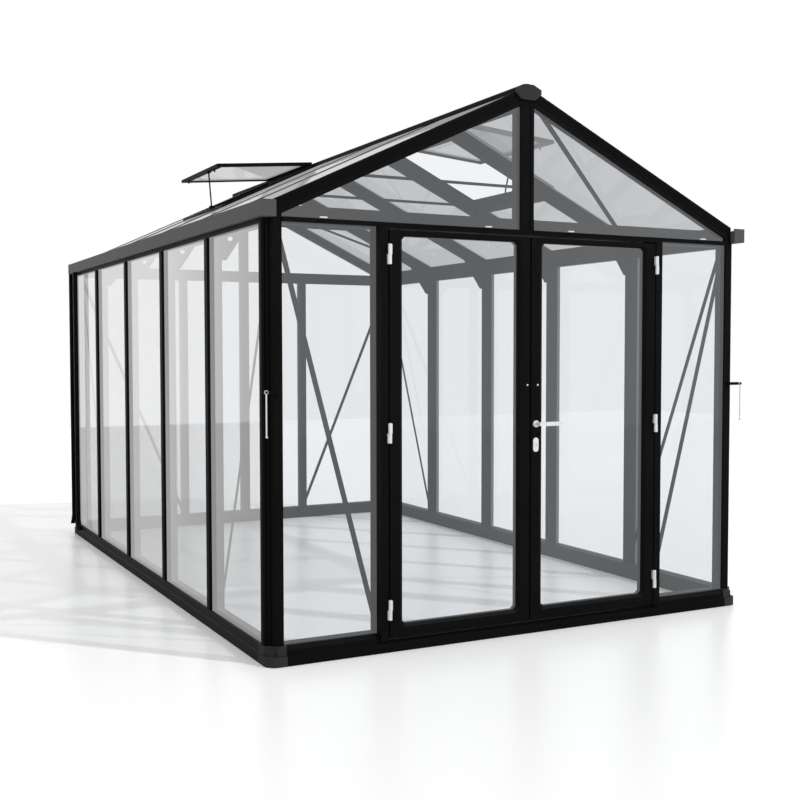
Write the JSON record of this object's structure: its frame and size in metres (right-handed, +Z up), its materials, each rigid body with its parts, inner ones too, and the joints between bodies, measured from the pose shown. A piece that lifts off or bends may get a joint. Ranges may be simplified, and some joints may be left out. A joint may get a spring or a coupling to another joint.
{
  "type": "glass greenhouse",
  "caption": "Free-standing aluminium and glass greenhouse with a gabled roof, hinged double doors, gutters, downpipes and raised roof vents.",
  "frame": {"origin": "middle of the base footprint, on the ground", "axes": "+X to the right seen from the doors, +Y from the doors to the back, +Z up; the doors face -Y"},
  "size_m": [2.8535, 4.4611, 2.752],
  "materials": {
    "black_frame": "satin",
    "grey_trim": "satin",
    "clear_glass": "gloss",
    "bright_fittings": "satin"
  },
  "bodies": {
    "house": {"base_corner_castings": "grey_trim", "base_front_rail": "black_frame", "base_rear_rail": "black_frame", "base_side_rails": "black_frame", "collar_ties": "black_frame", "downpipes": "black_frame", "eave_beams": "black_frame", "eave_gussets": "black_frame", "front_barge_rafters": "black_frame", "front_gable_mullion": "black_frame", "front_glass": "clear_glass", "front_jambs": "black_frame", "front_posts": "black_frame", "front_tie_beam": "black_frame", "gutter_end_caps": "grey_trim", "hook_brackets": "bright_fittings", "jamb_hinges": "bright_fittings", "left_gutter": "grey_trim", "left_roof_glass": "clear_glass", "left_roof_rafters": "black_frame", "left_vent_sash": "black_frame", "left_wall_bars": "black_frame", "left_wall_glass": "clear_glass", "rear_barge_rafters": "black_frame", "rear_glass": "clear_glass", "rear_mullions": "black_frame", "rear_posts": "black_frame", "rear_tie_beam": "black_frame", "ridge_beam": "black_frame", "ridge_end_caps": "black_frame", "right_gutter": "grey_trim", "right_roof_glass": "clear_glass", "right_roof_rafters": "black_frame", "right_vent_sash": "black_frame", "right_wall_bars": "black_frame", "right_wall_glass": "clear_glass", "roof_braces": "black_frame", "vent_curbs": "black_frame", "vent_glass": "clear_glass", "vent_stays": "black_frame", "wall_braces": "black_frame"},
    "left_leaf": {"left_door_frame": "black_frame", "left_door_glass": "clear_glass", "left_door_hinges": "bright_fittings"},
    "right_leaf": {"right_door_frame": "black_frame", "right_door_glass": "clear_glass", "right_door_hinges": "bright_fittings", "handle_plates": "bright_fittings"},
    "lever": {"lever_handle": "bright_fittings"},
    "left_hold_open": {"left_hook": "bright_fittings"},
    "right_hold_open": {"right_hook": "bright_fittings"}
  },
  "joints": [
    {"name": "left_door", "type": "hinge", "parent": "house", "child": "left_leaf", "pos_m": [-0.7915, -2.179, 1], "axis": [0, 0, -1], "range_deg": [0, 170]},
    {"name": "right_door", "type": "hinge", "parent": "house", "child": "right_leaf", "pos_m": [0.7915, -2.179, 1], "axis": [0, 0, 1], "range_deg": [0, 170]},
    {"name": "door_lever", "type": "hinge", "parent": "right_leaf", "child": "lever", "pos_m": [0.0315, -2.195, 1.06], "axis": [0, 1, 0], "range_deg": [0, 40], "stiffness_Nm_per_rad": 1.5, "springref_deg": -20.05},
    {"name": "left_hook_swing", "type": "hinge", "parent": "house", "child": "left_hold_open", "pos_m": [-1.4, -2.165, 1.243], "axis": [0, 1, 0], "range_deg": [0, 100]},
    {"name": "right_hook_swing", "type": "hinge", "parent": "house", "child": "right_hold_open", "pos_m": [1.4, -2.165, 1.243], "axis": [0, -1, 0], "range_deg": [0, 100]}
  ]
}
